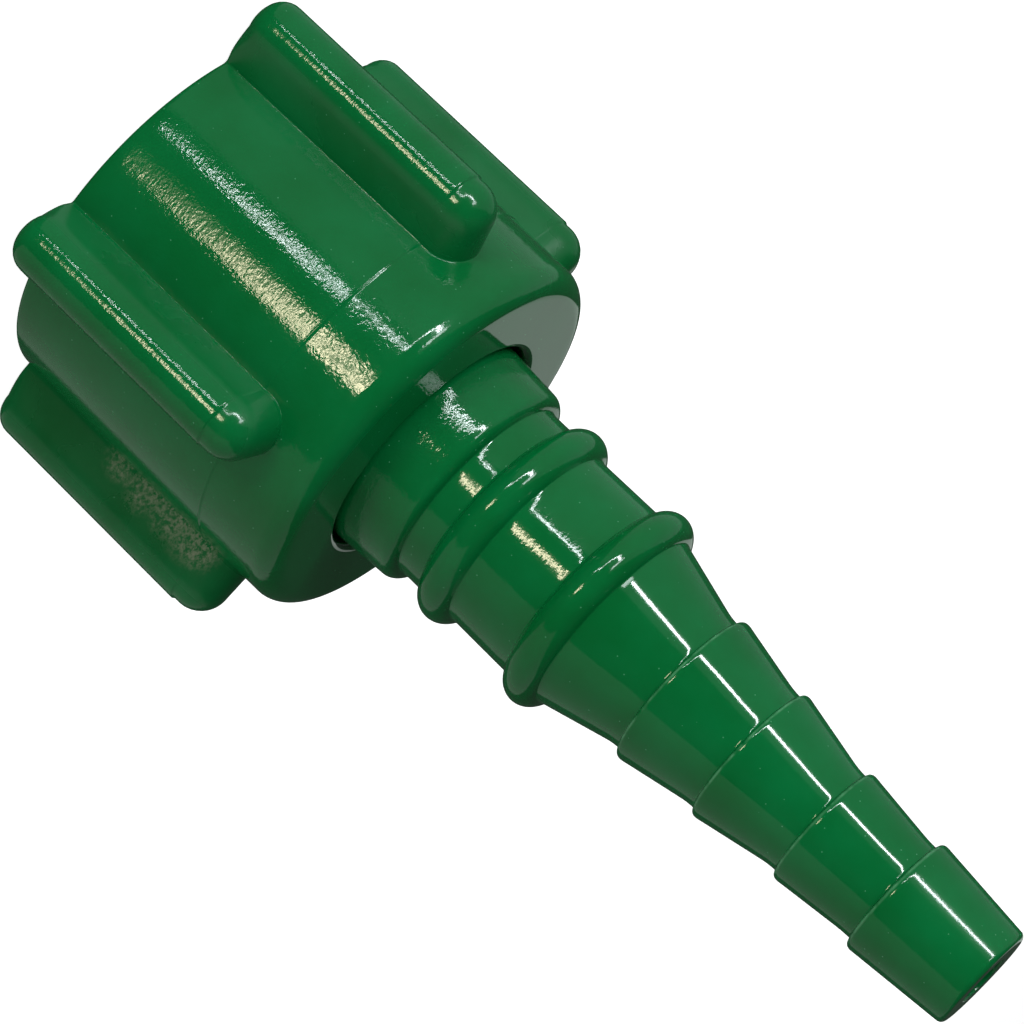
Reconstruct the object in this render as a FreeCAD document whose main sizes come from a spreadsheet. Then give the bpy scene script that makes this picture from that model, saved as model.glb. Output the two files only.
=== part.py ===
"""Oxygen tubing adapter: a winged swivel nut on a barbed hose nipple.

Both pieces are green mouldings on one axis, +Z. The nut stands on its open rim, whose centre is the
origin, and the nipple rises out of the nut's end web to its tip. All sizes are millimetres.
"""
import FreeCAD, Part
import math
import os

import Sketcher

# Driving sizes: alias, value, what it is
SIZES = [
    ("nut_height", 16.5, "rim plane to front face"),
    ("rim_radius", 9.79, "outside of the nut at its rim"),
    ("front_radius", 9.85, "outside of the nut where the shoulder round starts"),
    ("shoulder_round", 1.1, "round between the nut's side and its front face"),
    ("web_thickness", 2.6, "end web that the nipple turns in"),
    ("hole_edge", 0.35, "chamfer at the front edge of the hole"),
    ("rim_edge", 0.3, "chamfer on the rim's outer edge, wings included"),
    ("thread_radius", 6.45, "wall of the thread bore, at the thread's crests"),
    ("thread_length", 9.4, "straight wall of the thread bore"),
    ("thread_lead", 0.4, "chamfer at the mouth of the thread bore"),
    ("recess_depth", 0.8, "recess beyond the thread, cut into its wall"),
    ("wing_count", 5, "wings round the nut"),
    ("wing_reach", 13.02, "axis to the crest of a wing"),
    ("wing_crest_round", 1.45, "round of the crest"),
    ("wing_rim_round", 1.0, "round of the crest's corner at the rim"),
    ("wing_root_half_width", 1.5, "half the width where a wing leaves the nut"),
    ("wing_length", 14.1, "rim plane to the rounded front end of a wing"),
    ("wing_embed", 1.0, "how deep a wing is drawn into the wall"),
    ("wing_fillet", 0.25, "fillet between wing and nut"),
    ("bore_radius", 1.2, "gas bore through the nipple"),
    ("bore_lead", 0.35, "chamfer where the bore opens in the nose"),
    ("seat_gap", 0.25, "end play between the shoulder and the web"),
    ("shoulder_clearance", 0.15, "between the shoulder and the thread bore, on the radius"),
    ("shoulder_lap", 0.5, "how far the shoulder laps the web round the hole"),
    ("shoulder_thickness", 1.9, "retaining shoulder"),
    ("shoulder_edge", 0.25, "chamfer on the shoulder's edges"),
    ("shank_clearance", 0.28, "between the shank and the hole in the web, on the radius"),
    ("nose_radius", 4.3, "sealing nose"),
    ("nose_length", 1.8, "nose below the shoulder"),
    ("nose_taper", 1.3, "chamfer that makes the nose's sealing cone"),
    ("shank_length", 5.71, "shoulder to the end of the shank"),
    ("shank_draft", 0.09, "how much the shank narrows to its end, on the radius"),
    ("shank_end_edge", 0.5, "chamfer at the end of the shank"),
    ("stem_radius", 4.76, "stem between the shank and the cone"),
    ("bead_reach", 5.46, "axis to the crest of a bead"),
    ("bead_round", 0.9, "round of a bead's section"),
    ("bead_offset", 2.22, "end of the shank to the first bead"),
    ("bead_pitch", 5.3, "first bead to second bead"),
    ("cone_start_radius", 4.85, "thick end of the smooth cone, in the middle of the second bead"),
    ("cone_length", 4.94, "second bead to the first barb"),
    ("cone_end_radius", 3.68, "thin end of the smooth cone"),
    ("barb_rise", 0.2, "length of a barb's steep back face"),
    ("barb_one_length", 4.1, "first barb"),
    ("barb_one_radius", 4.01, "first barb's edge"),
    ("barb_one_end", 3.28, "thin end of the first barb"),
    ("barb_two_length", 4.33, "second barb"),
    ("barb_two_radius", 3.55, "second barb's edge"),
    ("barb_two_end", 2.76, "thin end of the second barb"),
    ("barb_three_length", 4.23, "third barb"),
    ("barb_three_radius", 3.05, "third barb's edge"),
    ("barb_three_end", 2.63, "thin end of the third barb"),
    ("barb_four_length", 5.17, "last barb, to the tip"),
    ("barb_four_radius", 2.99, "last barb's edge"),
    ("barb_four_end", 2.57, "outside of the tip"),
    ("tip_edge", 0.3, "chamfer on the tip's outer edge"),
]
BARBS = ("barb_one", "barb_two", "barb_three", "barb_four")

# Heights above the rim plane, and radii that follow from a fit, as expressions on the sizes
WEB_FACE = "(Sizes.nut_height - Sizes.web_thickness)"
THREAD_END = "(Sizes.thread_lead + Sizes.thread_length)"
LEAD_RADIUS = "(Sizes.thread_radius + Sizes.thread_lead)"
RECESS_RADIUS = "(Sizes.thread_radius + Sizes.recess_depth)"
SHOULDER_RADIUS = "(Sizes.thread_radius - Sizes.shoulder_clearance)"
HOLE_RADIUS = f"({SHOULDER_RADIUS} - Sizes.shoulder_lap)"
SHANK_RADIUS = f"({HOLE_RADIUS} - Sizes.shank_clearance)"
SHANK_END_RADIUS = f"({SHANK_RADIUS} - Sizes.shank_draft)"
SHOULDER_TOP = f"({WEB_FACE} - Sizes.seat_gap)"
SHOULDER_BASE = f"({SHOULDER_TOP} - Sizes.shoulder_thickness)"
NOSE_END = f"({SHOULDER_BASE} - Sizes.nose_length)"
SHANK_END = f"({SHOULDER_TOP} + Sizes.shank_length)"
BEAD_ONE = f"({SHANK_END} + Sizes.bead_offset)"
BEAD_TWO = f"({BEAD_ONE} + Sizes.bead_pitch)"
CONE_END = f"({BEAD_TWO} + Sizes.cone_length)"
WING_CAP = "(Sizes.wing_length - Sizes.wing_root_half_width)"
WING_CENTRE = "(Sizes.wing_reach - Sizes.wing_crest_round)"
WING_INNER = "(Sizes.rim_radius - Sizes.wing_embed)"


def make_sheet(doc):
    """Write the driving sizes into the sheet that every expression reads."""
    sheet = doc.addObject("Spreadsheet::Sheet", "Sizes")
    for row, (alias, size, meaning) in enumerate(SIZES, start=1):
        sheet.set(f"A{row}", meaning)
        sheet.set(f"B{row}", str(size))
        sheet.setAlias(f"B{row}", alias)
    doc.recompute()
    return sheet


def origin_feature(body, role):
    """Return the plane or axis of the body's own origin that has this role."""
    return next(item for item in body.Origin.OriginFeatures if item.Role == role)


def add_sketch(body, name, role, height=None):
    """Attach a new sketch to one of the body's origin planes, at a height along its normal."""
    sketch = body.newObject("Sketcher::SketchObject", name)
    sketch.AttachmentSupport = [(origin_feature(body, role), "")]
    sketch.MapMode = "FlatFace"
    if height:
        sketch.setExpression("AttachmentOffset.Base.z", height)
    sketch.Document.recompute()
    return sketch


def point(sketch, corner):
    """Work out where a corner, given as two expressions, lies on the sketch."""
    across, along = (float(sketch.evalExpression(text)) for text in corner)
    return FreeCAD.Vector(across, along, 0)


def place_start(sketch, edge, corner, end=1):
    """Hold one end of an edge at a corner with a horizontal and a vertical size."""
    where = point(sketch, corner)
    for kind, text, size in zip(("DistanceX", "DistanceY"), corner, (where.x, where.y)):
        index = sketch.addConstraint(Sketcher.Constraint(kind, -1, 1, edge, end, size))
        sketch.setExpression(f"Constraints[{index}]", text)


def add_outline(sketch, corners):
    """Draw a closed outline of straight edges through the corners and hold each corner."""
    places = [point(sketch, corner) for corner in corners]
    edges = [
        sketch.addGeometry(Part.LineSegment(start, end))
        for start, end in zip(places, places[1:] + places[:1])
    ]
    for before, after in zip(edges, edges[1:] + edges[:1]):
        sketch.addConstraint(Sketcher.Constraint("Coincident", before, 2, after, 1))
    for edge, corner in zip(edges, corners):
        place_start(sketch, edge, corner)
    return edges


def add_turned(body, kind, name, sketch, axis="V_Axis", angle=360.0, backwards=False):
    """Revolve a sketch about one of its own axes, to add or to cut."""
    turned = body.newObject(kind, name)
    turned.Profile = sketch
    turned.ReferenceAxis = (sketch, [axis])
    turned.Angle = angle
    turned.Reversed = backwards
    body.Tip = turned
    body.Document.recompute()
    return turned


def circle_edges(shape, radius, height):
    """Name the round edges about the axis with this radius at this height."""
    names = []
    for number, edge in enumerate(shape.Edges, start=1):
        curve = edge.Curve
        if not isinstance(curve, Part.Circle):
            continue
        on_axis = math.hypot(curve.Center.x, curve.Center.y) < 1e-6
        if on_axis and abs(curve.Radius - radius) < 1e-4 and abs(curve.Center.z - height) < 1e-4:
            names.append(f"Edge{number}")
    return names


def dress(body, kind, name, edges, expression):
    """Round or chamfer the named edges of the body's last feature."""
    base = body.Tip
    dressing = body.newObject(f"PartDesign::{kind}", name)
    dressing.Base = (base, edges)
    dressing.setExpression("Radius" if kind == "Fillet" else "Size", expression)
    body.Tip = dressing
    body.Document.recompute()


def dress_circles(body, kind, name, places, expression):
    """Round or chamfer the round edges at the given radii and heights."""
    sheet = body.Document.Sizes
    edges = []
    for radius, height in places:
        edges += circle_edges(
            body.Tip.Shape,
            float(sheet.evalExpression(radius)),
            float(sheet.evalExpression(height)),
        )
    dress(body, kind, name, edges, expression)


def make_nut_body(body):
    """Turn the nut's solid outside: tapered side, rounded shoulder, flat front face."""
    sketch = add_sketch(body, "NutOutside", "YZ_Plane")
    corners = [
        ("0", "0"),
        ("Sizes.rim_radius", "0"),
        ("Sizes.front_radius", "Sizes.nut_height"),
        ("0", "Sizes.nut_height"),
    ]
    add_outline(sketch, corners)
    add_turned(body, "PartDesign::Revolution", "NutTurned", sketch)
    front = [("Sizes.front_radius", "Sizes.nut_height")]
    dress_circles(body, "Fillet", "Shoulder", front, "Sizes.shoulder_round")


def add_wing_section(sketch, half):
    """Draw a wing's section, drafted flanks tangent to a round crest, whole or one half of it."""
    inner = point(sketch, (WING_INNER, "0")).x
    centre = point(sketch, (WING_CENTRE, "0")).x
    root = float(sketch.evalExpression("Sizes.wing_root_half_width"))
    crest = float(sketch.evalExpression("Sizes.wing_crest_round"))
    start = FreeCAD.Vector(inner, 0 if half else -root, 0)
    corner = FreeCAD.Vector(inner, root, 0)
    shoulder = FreeCAD.Vector(centre, crest, 0)
    top = FreeCAD.Vector(centre + crest, 0, 0)
    circle = Part.Circle(FreeCAD.Vector(centre, 0, 0), FreeCAD.Vector(0, 0, 1), crest)
    base = sketch.addGeometry(Part.LineSegment(start, corner))
    flank = sketch.addGeometry(Part.LineSegment(corner, shoulder))
    low = 0.0 if half else -math.pi / 2
    arc = sketch.addGeometry(Part.ArcOfCircle(circle, low, math.pi / 2))
    sketch.addConstraint(Sketcher.Constraint("Coincident", base, 2, flank, 1))
    sketch.addConstraint(Sketcher.Constraint("Tangent", flank, 2, arc, 2))
    radius = sketch.addConstraint(Sketcher.Constraint("Radius", arc, crest))
    sketch.setExpression(f"Constraints[{radius}]", "Sizes.wing_crest_round")
    place_start(sketch, arc, (WING_CENTRE, "0"), end=3)
    place_start(sketch, flank, (WING_INNER, "Sizes.wing_root_half_width"))
    if half:
        place_start(sketch, base, (WING_INNER, "0"))
        middle = sketch.addGeometry(Part.LineSegment(top, start))
        sketch.addConstraint(Sketcher.Constraint("Coincident", arc, 1, middle, 1))
        sketch.addConstraint(Sketcher.Constraint("Coincident", middle, 2, base, 1))
        sketch.addConstraint(Sketcher.Constraint("Horizontal", middle))
        return
    far = FreeCAD.Vector(centre, -crest, 0)
    other = sketch.addGeometry(Part.LineSegment(far, start))
    sketch.addConstraint(Sketcher.Constraint("Tangent", other, 1, arc, 1))
    sketch.addConstraint(Sketcher.Constraint("Coincident", other, 2, base, 1))
    place_start(sketch, base, (WING_INNER, "-Sizes.wing_root_half_width"))


def make_wings(body):
    """Stand a wing on the rim plane, close it with a rounded end and repeat it round the nut."""
    section = add_sketch(body, "WingSection", "XY_Plane")
    add_wing_section(section, half=False)
    blade = body.newObject("PartDesign::Pad", "WingBlade")
    blade.Profile = section
    blade.setExpression("Length", WING_CAP)
    body.Tip = blade
    body.Document.recompute()
    half_section = add_sketch(body, "WingHalfSection", "XY_Plane", WING_CAP)
    add_wing_section(half_section, half=True)
    cap = add_turned(
        body, "PartDesign::Revolution", "WingCap", half_section, axis="H_Axis", angle=180.0
    )
    pattern = body.newObject("PartDesign::PolarPattern", "Wings")
    pattern.Originals = [blade, cap]
    pattern.Axis = (origin_feature(body, "Z_Axis"), [""])
    pattern.Angle = 360.0
    pattern.setExpression("Occurrences", "Sizes.wing_count")
    body.Tip = pattern
    body.Document.recompute()


def wing_root_edges(body):
    """Name the edges where the wings leave the nut's tapered side."""
    sheet = body.Document.Sizes
    height = float(sheet.evalExpression("Sizes.nut_height"))
    low = float(sheet.evalExpression("Sizes.rim_radius"))
    high = float(sheet.evalExpression("Sizes.front_radius"))
    names = []
    for number, edge in enumerate(body.Tip.Shape.Edges, start=1):
        first, last = edge.ParameterRange
        spots = [edge.valueAt(first + (last - first) * share) for share in (0.1, 0.5, 0.9)]
        on_side = all(
            abs(math.hypot(spot.x, spot.y) - low - (high - low) * spot.z / height) < 1e-3
            for spot in spots
        )
        level = all(abs(spot.z - spots[0].z) < 1e-6 for spot in spots)
        faces = body.Tip.Shape.ancestorsOfType(edge, Part.Face)
        seam = len(faces) < 2 or faces[0].isSame(faces[1])
        if on_side and not level and not seam:
            names.append(f"Edge{number}")
    return names


def rim_edges(body):
    """Name the outer edges of the rim plane, round the nut and its wings."""
    inside = float(body.Document.Sizes.evalExpression(WING_INNER))
    names = []
    for number, edge in enumerate(body.Tip.Shape.Edges, start=1):
        first, last = edge.ParameterRange
        spots = [edge.valueAt(first + (last - first) * share) for share in (0.0, 0.5, 1.0)]
        if all(abs(spot.z) < 1e-6 and math.hypot(spot.x, spot.y) > inside for spot in spots):
            names.append(f"Edge{number}")
    return names


def round_wing_rims(body):
    """Turn off the corner where the wings' crests meet the rim plane, to a round."""
    sketch = add_sketch(body, "WingRimCorner", "YZ_Plane")
    centre = ("(Sizes.wing_reach - Sizes.wing_rim_round)", "Sizes.wing_rim_round")
    inner = (centre[0], "0")
    outer = ("(Sizes.wing_reach + Sizes.wing_rim_round)", "0")
    above = (outer[0], centre[1])
    size = float(sketch.evalExpression("Sizes.wing_rim_round"))
    middle = point(sketch, centre)
    circle = Part.Circle(middle, FreeCAD.Vector(0, 0, 1), size)
    base = sketch.addGeometry(Part.LineSegment(point(sketch, inner), point(sketch, outer)))
    side = sketch.addGeometry(Part.LineSegment(point(sketch, outer), point(sketch, above)))
    crest = middle + FreeCAD.Vector(size, 0, 0)
    roof = sketch.addGeometry(Part.LineSegment(point(sketch, above), crest))
    arc = sketch.addGeometry(Part.ArcOfCircle(circle, -math.pi / 2, 0))
    sketch.addConstraint(Sketcher.Constraint("Coincident", base, 2, side, 1))
    sketch.addConstraint(Sketcher.Constraint("Coincident", side, 2, roof, 1))
    sketch.addConstraint(Sketcher.Constraint("Coincident", roof, 2, arc, 2))
    sketch.addConstraint(Sketcher.Constraint("Coincident", arc, 1, base, 1))
    sketch.addConstraint(Sketcher.Constraint("Horizontal", roof))
    for edge, corner in ((base, inner), (side, outer), (roof, above)):
        place_start(sketch, edge, corner)
    place_start(sketch, arc, centre, end=3)
    before = body.Tip.Shape.Volume
    add_turned(body, "PartDesign::Groove", "WingRimRound", sketch)
    if body.Tip.Shape.Volume >= before:
        raise RuntimeError("the round of the wings' rim corners cut nothing")


def make_nut_inside(body):
    """Cut the thread bore with its lead, the recess and the hole that the shank turns in."""
    sketch = add_sketch(body, "NutInside", "YZ_Plane")
    corners = [
        ("0", "0"),
        (LEAD_RADIUS, "0"),
        ("Sizes.thread_radius", "Sizes.thread_lead"),
        ("Sizes.thread_radius", THREAD_END),
        (RECESS_RADIUS, f"({THREAD_END} + Sizes.recess_depth)"),
        (RECESS_RADIUS, WEB_FACE),
        (HOLE_RADIUS, WEB_FACE),
        (HOLE_RADIUS, "Sizes.nut_height"),
        ("0", "Sizes.nut_height"),
    ]
    add_outline(sketch, corners)
    before = body.Tip.Shape.Volume
    add_turned(body, "PartDesign::Groove", "NutHollow", sketch)
    if body.Tip.Shape.Volume > before - 1.0:
        raise RuntimeError("the hollow of the nut cut nothing")
    hole = [(HOLE_RADIUS, "Sizes.nut_height")]
    dress_circles(body, "Chamfer", "HoleEdge", hole, "Sizes.hole_edge")


def make_wing_nut(doc):
    """Build the winged nut."""
    body = doc.addObject("PartDesign::Body", "wing_nut")
    body.Label = "wing_nut"
    make_nut_body(body)
    make_nut_inside(body)
    make_wings(body)
    dress(body, "Fillet", "WingRoots", wing_root_edges(body), "Sizes.wing_fillet")
    dress(body, "Chamfer", "RimEdge", rim_edges(body), "Sizes.rim_edge")
    round_wing_rims(body)
    return body


def barb_corners():
    """List the corners of the four barbs and the height of the tip, from the cone's end up."""
    corners = []
    height = CONE_END
    for barb in BARBS:
        corners.append((f"Sizes.{barb}_radius", f"({height} + Sizes.barb_rise)"))
        height = f"({height} + Sizes.{barb}_length)"
        corners.append((f"Sizes.{barb}_end", height))
    return corners, height


def make_nipple_rear(body):
    """Turn the part of the nipple that the nut holds: nose, retaining shoulder and shank."""
    sketch = add_sketch(body, "RearOutside", "YZ_Plane")
    corners = [
        ("0", NOSE_END),
        ("Sizes.nose_radius", NOSE_END),
        ("Sizes.nose_radius", SHOULDER_BASE),
        (SHOULDER_RADIUS, SHOULDER_BASE),
        (SHOULDER_RADIUS, SHOULDER_TOP),
        (SHANK_RADIUS, SHOULDER_TOP),
        (SHANK_END_RADIUS, SHANK_END),
        ("0", SHANK_END),
    ]
    add_outline(sketch, corners)
    add_turned(body, "PartDesign::Revolution", "RearTurned", sketch)
    nose = [("Sizes.nose_radius", NOSE_END)]
    dress_circles(body, "Chamfer", "SealingCone", nose, "Sizes.nose_taper")
    shoulder = [(SHOULDER_RADIUS, SHOULDER_BASE), (SHOULDER_RADIUS, SHOULDER_TOP)]
    dress_circles(body, "Chamfer", "ShoulderEdges", shoulder, "Sizes.shoulder_edge")
    shank = [(SHANK_END_RADIUS, SHANK_END)]
    dress_circles(body, "Chamfer", "ShankEnd", shank, "Sizes.shank_end_edge")


def make_stem(body):
    """Turn the stem, the smooth cone and the barbs, and break the tip's edge."""
    sketch = add_sketch(body, "StemOutside", "YZ_Plane")
    barbs, tip = barb_corners()
    corners = [
        ("0", f"({SHANK_END} - Sizes.bead_offset)"),
        ("Sizes.stem_radius", f"({SHANK_END} - Sizes.bead_offset)"),
        ("Sizes.stem_radius", BEAD_TWO),
        ("Sizes.cone_start_radius", BEAD_TWO),
        ("Sizes.cone_end_radius", CONE_END),
    ]
    corners += barbs
    corners.append(("0", tip))
    add_outline(sketch, corners)
    add_turned(body, "PartDesign::Revolution", "StemTurned", sketch)
    dress_circles(body, "Chamfer", "TipEdge", barbs[-1:], "Sizes.tip_edge")
    return tip


def make_beads(body):
    """Add the two beads, each a turned half disc whose flat lies inside the stem."""
    centre = "(Sizes.bead_reach - Sizes.bead_round)"
    for name, height in (("BeadOne", BEAD_ONE), ("BeadTwo", BEAD_TWO)):
        sketch = add_sketch(body, f"{name}Section", "YZ_Plane")
        size = float(sketch.evalExpression("Sizes.bead_round"))
        middle = point(sketch, (centre, height))
        circle = Part.Circle(middle, FreeCAD.Vector(0, 0, 1), size)
        arc = sketch.addGeometry(Part.ArcOfCircle(circle, -math.pi / 2, math.pi / 2))
        reach = FreeCAD.Vector(0, size, 0)
        chord = sketch.addGeometry(Part.LineSegment(middle + reach, middle - reach))
        sketch.addConstraint(Sketcher.Constraint("Coincident", arc, 2, chord, 1))
        sketch.addConstraint(Sketcher.Constraint("Coincident", chord, 2, arc, 1))
        radius = sketch.addConstraint(Sketcher.Constraint("Radius", arc, size))
        sketch.setExpression(f"Constraints[{radius}]", "Sizes.bead_round")
        place_start(sketch, arc, (centre, height), end=3)
        sketch.addConstraint(Sketcher.Constraint("PointOnObject", arc, 3, chord))
        sketch.addConstraint(Sketcher.Constraint("Vertical", chord))
        add_turned(body, "PartDesign::Revolution", name, sketch)


def make_bore(body, tip):
    """Cut the gas bore from the nose to the tip, with a lead in the nose."""
    sketch = add_sketch(body, "BoreSection", "YZ_Plane")
    corners = [
        ("0", NOSE_END),
        ("(Sizes.bore_radius + Sizes.bore_lead)", NOSE_END),
        ("Sizes.bore_radius", f"({NOSE_END} + Sizes.bore_lead)"),
        ("Sizes.bore_radius", tip),
        ("0", tip),
    ]
    add_outline(sketch, corners)
    before = body.Tip.Shape.Volume
    add_turned(body, "PartDesign::Groove", "GasBore", sketch)
    if body.Tip.Shape.Volume > before - 1.0:
        raise RuntimeError("the gas bore cut nothing")


def make_barbed_nipple(doc):
    """Build the nipple."""
    body = doc.addObject("PartDesign::Body", "barbed_nipple")
    body.Label = "barbed_nipple"
    make_nipple_rear(body)
    tip = make_stem(body)
    make_beads(body)
    make_bore(body, tip)
    return body


def check(doc, bodies):
    """Stop if a feature failed or a sub-part isn't one valid solid."""
    for item in doc.Objects:
        if "Invalid" in item.State or "Error" in item.State:
            raise RuntimeError(f"{item.Label} failed: {item.State}")
    for body in bodies:
        shape = body.Shape
        if shape.isNull() or not shape.isValid() or len(shape.Solids) != 1:
            raise RuntimeError(f"{body.Label} is not one valid solid")


def main():
    """Build the adapter and write each piece."""
    doc = FreeCAD.newDocument("OxygenTubingAdapter")
    make_sheet(doc)
    bodies = [make_wing_nut(doc), make_barbed_nipple(doc)]
    doc.recompute()
    check(doc, bodies)
    os.makedirs("parts", exist_ok=True)
    for body in bodies:
        body.Shape.exportStep(f"parts/{body.Label}.step")
        box = body.Shape.optimalBoundingBox()
        print(
            f"{body.Label}: {body.Shape.Volume:.1f} mm3, z {box.ZMin:.2f} to {box.ZMax:.2f}, "
            f"x {box.XMin:.2f} to {box.XMax:.2f}, {len(body.Shape.Faces)} faces"
        )


main()
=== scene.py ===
"""Oxygen tubing adapter: a winged swivel nut on a barbed hose nipple, both glossy green mouldings.

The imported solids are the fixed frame. Each visible piece is built here in finer detail around them:
the nut with its wings, its mould parting line and its inside thread, and the turned nipple. Sizes in
the classes are millimetres, as on a drawing, and every mesh is written in metres.
"""
from __future__ import annotations

import logging
import math
from dataclasses import dataclass, field
from enum import Enum
from typing import Any, Sequence

import bmesh
import bpy
import numpy as np
from mathutils import Matrix, Vector

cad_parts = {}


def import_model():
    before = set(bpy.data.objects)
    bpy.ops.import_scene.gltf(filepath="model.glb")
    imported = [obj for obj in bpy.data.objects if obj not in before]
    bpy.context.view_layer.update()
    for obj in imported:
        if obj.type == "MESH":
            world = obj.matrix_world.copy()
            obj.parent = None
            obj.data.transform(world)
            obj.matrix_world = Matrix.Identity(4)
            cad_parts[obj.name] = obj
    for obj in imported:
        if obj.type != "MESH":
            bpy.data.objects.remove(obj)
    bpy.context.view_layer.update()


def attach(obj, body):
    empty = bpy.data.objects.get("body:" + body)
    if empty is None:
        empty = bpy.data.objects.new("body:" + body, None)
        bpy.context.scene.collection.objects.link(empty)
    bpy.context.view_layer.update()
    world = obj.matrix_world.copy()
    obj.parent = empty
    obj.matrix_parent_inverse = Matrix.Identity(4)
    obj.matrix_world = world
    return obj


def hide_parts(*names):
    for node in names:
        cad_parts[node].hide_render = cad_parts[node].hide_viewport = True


log = logging.getLogger("adapter")

MM = 0.001
MICROMETRE = 0.000001
Colour = tuple[float, float, float]
Pair = tuple[float, float]
Points = np.ndarray
WHITE: Colour = (1.0, 1.0, 1.0)
WINDOW: Colour = (0.90, 0.97, 1.0)
WARM: Colour = (1.0, 0.86, 0.60)

# Metres over which a zone of the skin fades out
SOFT_EDGE = 0.00016
# Degrees from one point of an arc to the next, an arc's fewest steps, and points on a corner
ARC_STEP = 4.0
ARC_FEWEST = 3
BEND_POINTS = 9
# Millimetres within which two points are one, and the share of them that leaves no face
WELD = 0.0001
NO_FACE = 0.25
# A length too short to divide by
TINY = 1e-9


class Body(Enum):
    """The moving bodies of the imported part."""

    NIPPLE = "nipple"
    NUT = "nut"


# Outlines


@dataclass
class Outline:
    """A closed outline in the half plane of radius and height, walked point by point."""

    points: list[Pair] = field(default_factory=list)

    def to(self, *places: Pair) -> Outline:
        """Go straight to each place in turn."""
        self.points.extend(places)
        return self

    def arc(self, centre: Pair, radius: float, start: float, end: float) -> Outline:
        """Follow an arc.

        Args:
            centre: Radius and height of the arc's centre.
            radius: The arc's own radius.
            start: Angle of its first point in degrees, 0 pointing away from the axis.
            end: Angle of its last point in degrees.

        Returns:
            The outline itself, so that calls can be chained.
        """
        steps = max(ARC_FEWEST, int(abs(end - start) / ARC_STEP))
        for angle in np.radians(np.linspace(start, end, steps + 1)):
            self.to((centre[0] + radius * math.cos(angle), centre[1] + radius * math.sin(angle)))
        return self

    def bend(self, start: Pair, corner: Pair, end: Pair) -> Outline:
        """Round a corner, tangent to both of its sides.

        Args:
            start: Where the round starts.
            corner: The corner itself.
            end: Where the round ends.

        Returns:
            The outline itself, so that calls can be chained.
        """
        for share in np.linspace(0.0, 1.0, BEND_POINTS):
            near, far = (1.0 - share) ** 2, share**2
            middle = 1.0 - near - far
            self.to(tuple(near * a + middle * b + far * c for a, b, c in zip(start, corner, end)))
        return self

    def dense(self, spacing: float) -> Points:
        """Place points along the closed outline.

        Args:
            spacing: Distance from one point to the next.

        Returns:
            The evenly spaced points.
        """
        corners = np.array(self.points + self.points[:1])
        runs = np.linalg.norm(np.diff(corners, axis=0), axis=1)
        along = np.concatenate([[0.0], np.cumsum(runs)])
        count = int(round(along[-1] / spacing))
        where = np.linspace(0.0, along[-1], count, endpoint=False)
        return np.column_stack([np.interp(where, along, corners[:, axis]) for axis in (0, 1)])

    def softened(self, reach: float, spacing: float = 0.02) -> Points:
        """Round every corner a little, as a polished mould does.

        Args:
            reach: Standard deviation of the rounding along the outline.
            spacing: Distance between the points that are averaged.

        Returns:
            Even points along the rounded outline.
        """
        points = self.dense(spacing)
        # Past three deviations a weight is next to nothing
        half = int(math.ceil(3 * reach / spacing))
        weights = np.exp(-0.5 * (np.arange(-half, half + 1) * spacing / reach) ** 2)
        weights /= weights.sum()
        rolled = [np.roll(points, -shift, axis=0) for shift in range(-half, half + 1)]
        return sum(weight * part for weight, part in zip(weights, rolled))


def thinned(points: Points, tolerance: float, longest: float) -> Points:
    """Drop points that a straight run stands in for.

    Args:
        points: Closed outline.
        tolerance: How far a dropped point may lie from the run.
        longest: Longest run that may stand in.

    Returns:
        The points that stay, in order.
    """
    keep = [0]
    start = 0
    count = len(points)
    for end in range(2, count + 1):
        first, last = points[start], points[end % count]
        run = last - first
        length = float(np.linalg.norm(run))
        between = points[start + 1 : end] - first
        off = np.abs(between[:, 0] * run[1] - between[:, 1] * run[0]) / max(length, TINY)
        if off.max() > tolerance or length > longest:
            keep.append(end - 1)
            start = end - 1
    return points[keep]


# Meshes


def polar(radii: Any, angles: Any, heights: Any) -> Points:
    """Return points round the axis. Each argument is a row of numbers or one number for all."""
    flat = radii * np.cos(angles), radii * np.sin(angles)
    return np.column_stack(np.broadcast_arrays(*flat, heights))


def smooth(mesh: bpy.types.Mesh) -> None:
    """Shade every face of a mesh smooth."""
    mesh.polygons.foreach_set("use_smooth", [True] * len(mesh.polygons))


def mesh_object(
    name: str, verts: Any, faces: Sequence[Sequence[int]], edges: Sequence[Sequence[int]] = ()
) -> bpy.types.Object:
    """Make a smooth mesh object from points in millimetres.

    Args:
        name: Name of the object and its mesh.
        verts: Points in millimetres, in the part's frame.
        faces: Corner numbers of each face.
        edges: End numbers of each edge that has no face.

    Returns:
        The object, linked to the scene at the origin.
    """
    mesh = bpy.data.meshes.new(name)
    mesh.from_pydata((np.asarray(verts) * MM).tolist(), edges, faces)
    smooth(mesh)
    mesh.update()
    piece = bpy.data.objects.new(name, mesh)
    bpy.context.scene.collection.objects.link(piece)
    return piece


def grid_faces(rows: int, columns: int, closed: bool) -> list[list[int]]:
    """List the quads of a grid whose points are numbered row by row.

    Args:
        rows: Number of rows.
        columns: Points in a row.
        closed: Join the last row and column to the first.

    Returns:
        Four corner numbers for each quad.
    """
    faces = []
    for row in range(rows if closed else rows - 1):
        near, far = row * columns, (row + 1) % rows * columns
        for column in range(columns if closed else columns - 1):
            beside = (column + 1) % columns
            faces.append([near + column, near + beside, far + beside, far + column])
    return faces


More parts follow.
